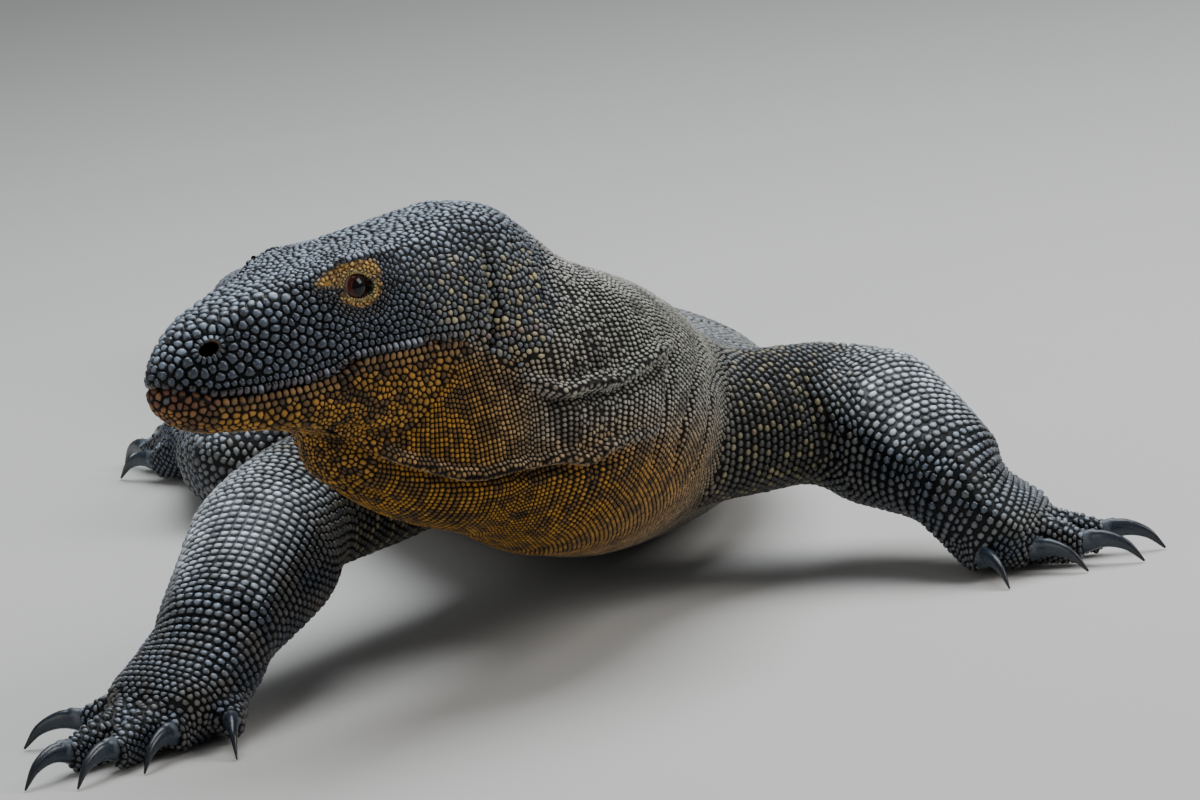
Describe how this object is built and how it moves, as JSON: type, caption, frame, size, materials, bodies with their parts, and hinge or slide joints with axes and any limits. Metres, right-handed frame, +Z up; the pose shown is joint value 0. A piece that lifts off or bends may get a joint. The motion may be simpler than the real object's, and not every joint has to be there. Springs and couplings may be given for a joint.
{
  "type": "komodo dragon",
  "caption": "Life-size still model of a large monitor lizard resting on its belly, its head raised and turned to its right, forelegs spread, tail curled behind it.",
  "frame": {"origin": "on the floor, at the middle of the animal's bounding box", "axes": "+Z up, the trunk runs along Y with the head towards -Y, the animal's left side towards +X"},
  "size_m": [0.5492, 1.4264, 0.2279],
  "materials": {
    "head_scales": "glossy slate blue-black scales, ochre round the eye",
    "jaw_scales": "brown and ochre scales, mottled dark",
    "neck_scales": "tan and ochre bead scales on near-black skin",
    "body_scales": "grey-brown bead scales on near-black skin, satin",
    "limb_scales": "slate blue-grey bead scales in rows, glossy",
    "claw": "glossy blue-black horn",
    "eye": "wet dark brown eye with a round black pupil"
  },
  "bodies": {
    "root": {"head": "head_scales", "lower_jaw": "jaw_scales", "neck": "neck_scales", "trunk": "body_scales", "tail_base": "body_scales", "tail_middle": "body_scales", "tail_tip": "body_scales", "eye_right": "eye", "upper_arm_right": "limb_scales", "forearm_right": "limb_scales", "hand_right": "limb_scales", "finger_claw_1_right": "claw", "finger_claw_2_right": "claw", "finger_claw_3_right": "claw", "finger_claw_4_right": "claw", "finger_claw_5_right": "claw", "thigh_right": "limb_scales", "shank_right": "limb_scales", "foot_right": "limb_scales", "toe_claw_1_right": "claw", "toe_claw_2_right": "claw", "toe_claw_3_right": "claw", "toe_claw_4_right": "claw", "toe_claw_5_right": "claw", "eye_left": "eye", "upper_arm_left": "limb_scales", "forearm_left": "limb_scales", "hand_left": "limb_scales", "finger_claw_1_left": "claw", "finger_claw_2_left": "claw", "finger_claw_3_left": "claw", "finger_claw_4_left": "claw", "finger_claw_5_left": "claw", "thigh_left": "limb_scales", "shank_left": "limb_scales", "foot_left": "limb_scales", "toe_claw_1_left": "claw", "toe_claw_2_left": "claw", "toe_claw_3_left": "claw", "toe_claw_4_left": "claw", "toe_claw_5_left": "claw"}
  },
  "joints": []
}
